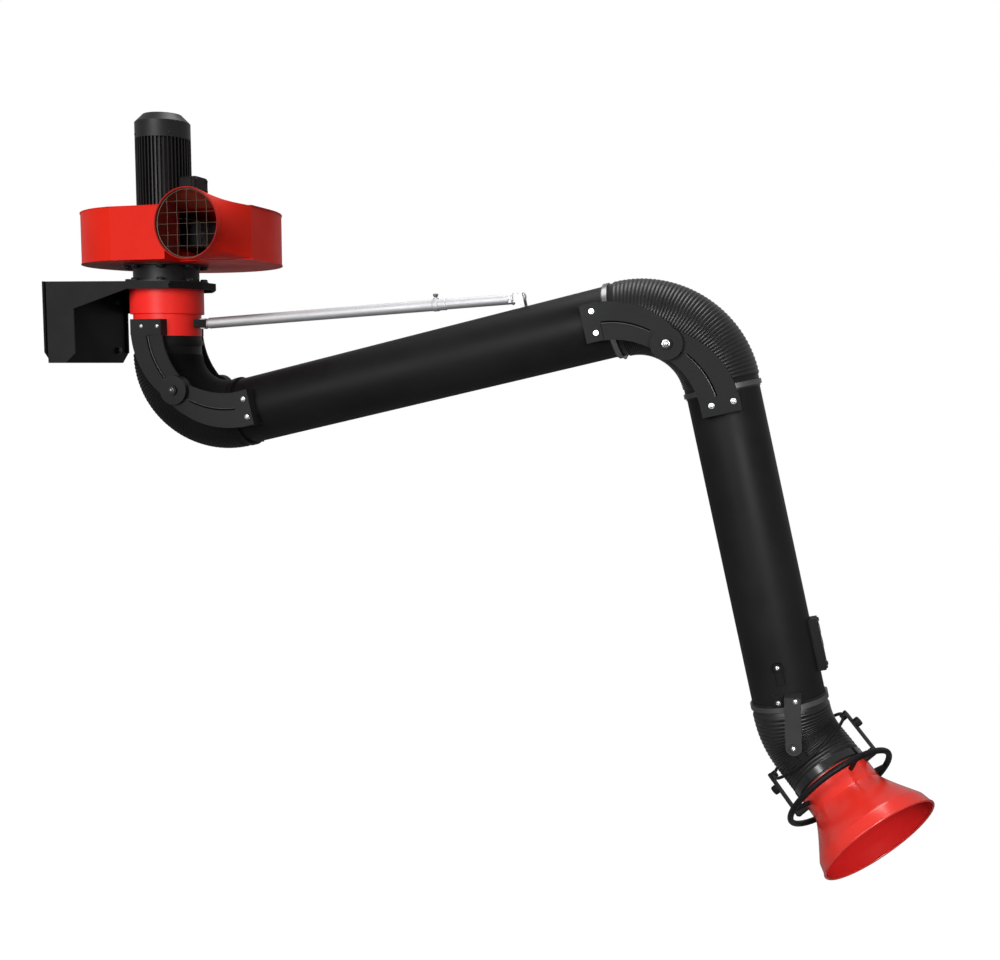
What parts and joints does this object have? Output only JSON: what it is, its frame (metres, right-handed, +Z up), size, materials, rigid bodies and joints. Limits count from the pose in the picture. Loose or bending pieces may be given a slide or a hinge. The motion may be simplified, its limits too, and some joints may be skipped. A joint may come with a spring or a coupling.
{
  "type": "welding fume extraction arm",
  "caption": "Wall-mounted fume extraction arm: fan with motor on a bracket, swivelling tube arm with ribbed hose joints, a telescopic strut and a tilting suction hood.",
  "frame": {"origin": "centre of the four wall bolts, on the back face of the wall plate", "axes": "+X out of the wall along the arm, +Z up, the fan outlet towards -Y"},
  "size_m": [2.0717, 0.4961, 1.7066],
  "materials": {
    "red_paint": "glossy red powder coat",
    "black_paint": "semi-gloss black powder coat",
    "bright_steel": "bright plated steel",
    "zinc_steel": "plain zinc-plated steel",
    "black_hose": "matt black coated hose fabric",
    "black_plastic": "matt black moulding",
    "clamp_band": "black steel band"
  },
  "bodies": {
    "bracket": {"wall_plate": "black_paint", "gusset_near": "black_paint", "gusset_far": "black_paint", "shelf_plate": "black_paint", "swivel_spigot": "black_paint", "fan_spacer": "black_paint", "case_base": "red_paint", "case_wrapper": "red_paint", "case_lid": "red_paint", "inlet_cone": "red_paint", "outlet_duct": "red_paint", "outlet_guard": "zinc_steel", "motor_flange": "black_paint", "motor_housing": "black_paint", "motor_stator": "zinc_steel", "motor_cowl": "black_paint", "terminal_box": "black_plastic", "cable_gland": "black_plastic"},
    "rotor": {"motor_rotor": "zinc_steel", "impeller": "zinc_steel", "cooling_fan": "black_plastic"},
    "swivel": {"swivel_collar": "red_paint", "shoulder_plate_near": "black_paint", "shoulder_plate_far": "black_paint", "shoulder_bolt_near": "bright_steel", "shoulder_bolt_far": "bright_steel", "shoulder_hose": "black_hose", "shoulder_clamp_in": "clamp_band", "strut_lug_lower": "black_paint"},
    "upper_arm": {"upper_tube": "black_paint", "shoulder_arm_near": "black_paint", "shoulder_arm_far": "black_paint", "shoulder_clamp_out": "clamp_band", "strut_lug_upper": "bright_steel", "elbow_plate_near": "black_paint", "elbow_plate_far": "black_paint", "elbow_bolt_near": "bright_steel", "elbow_bolt_far": "bright_steel", "elbow_hose": "black_hose", "elbow_clamp_in": "clamp_band"},
    "strut_barrel": {"strut_tube": "bright_steel"},
    "strut_ram": {"strut_rod": "bright_steel"},
    "lock": {"lock_screw": "bright_steel"},
    "lower_arm": {"lower_tube": "black_paint", "elbow_arm_near": "black_paint", "elbow_arm_far": "black_paint", "elbow_clamp_out": "clamp_band", "control_box": "black_plastic", "wrist_strap_near": "black_paint", "wrist_strap_far": "black_paint", "wrist_hose": "black_hose", "wrist_clamp_in": "clamp_band"},
    "damper": {"damper_blade": "zinc_steel", "damper_lever": "black_paint"},
    "gimbal": {"gimbal_ring": "black_paint"},
    "hood": {"hood_shell": "red_paint", "wrist_clamp_out": "clamp_band", "hood_yoke_high": "black_paint", "hood_yoke_low": "black_paint", "hood_handle": "black_paint"}
  },
  "joints": [
    {"name": "fan_spin", "type": "hinge", "parent": "bracket", "child": "rotor", "pos_m": [0.235, 0, 0.35], "axis": [0, 0, 1], "continuous": true},
    {"name": "swivel_turn", "type": "hinge", "parent": "bracket", "child": "swivel", "pos_m": [0.235, 0, 0.05], "axis": [0, 0, 1], "range_deg": [-85, 90]},
    {"name": "shoulder_lift", "type": "hinge", "parent": "swivel", "child": "upper_arm", "pos_m": [0.317, 0, -0.163], "axis": [0, 1, 0], "range_deg": [-15, 15], "deforming": ["shoulder_hose"]},
    {"name": "strut_tilt", "type": "hinge", "parent": "swivel", "child": "strut_barrel", "pos_m": [0.338, 0, -0.001], "axis": [0, 1, 0], "range_deg": [-18, 18]},
    {"name": "strut_slide", "type": "slide", "parent": "strut_barrel", "child": "strut_ram", "axis": [0.9981, 0, 0.0612], "range_m": [-0.05, 0.05]},
    {"name": "lock_screw_turn", "type": "hinge", "parent": "strut_barrel", "child": "lock", "pos_m": [0.94686, 0, 0.03631], "axis": [-0.0612, 0, 0.9981], "range_deg": [-180, 180]},
    {"name": "elbow_fold", "type": "hinge", "parent": "upper_arm", "child": "lower_arm", "pos_m": [1.50365, 0, -0.05735], "axis": [0, 1, 0], "range_deg": [-45, 35], "deforming": ["elbow_hose"]},
    {"name": "damper_turn", "type": "hinge", "parent": "lower_arm", "child": "damper", "pos_m": [1.74664, 0, -0.74533], "axis": [0, 1, 0], "range_deg": [0, 90]},
    {"name": "wrist_tilt", "type": "hinge", "parent": "lower_arm", "child": "gimbal", "pos_m": [1.7851, 0, -0.91194], "axis": [0, 1, 0], "range_deg": [-15, 75], "deforming": ["wrist_hose"]},
    {"name": "hood_turn", "type": "hinge", "parent": "gimbal", "child": "hood", "pos_m": [1.81197, 0, -0.93881], "axis": [0.7071, 0, 0.7071], "range_deg": [-5, 62], "deforming": ["wrist_hose"]}
  ],
  "couplings": [
    {"joint": "strut_tilt", "follows": "shoulder_lift", "ratio": 1.037},
    {"joint": "strut_slide", "follows": "shoulder_lift", "m_per_rad": 0.15625}
  ]
}
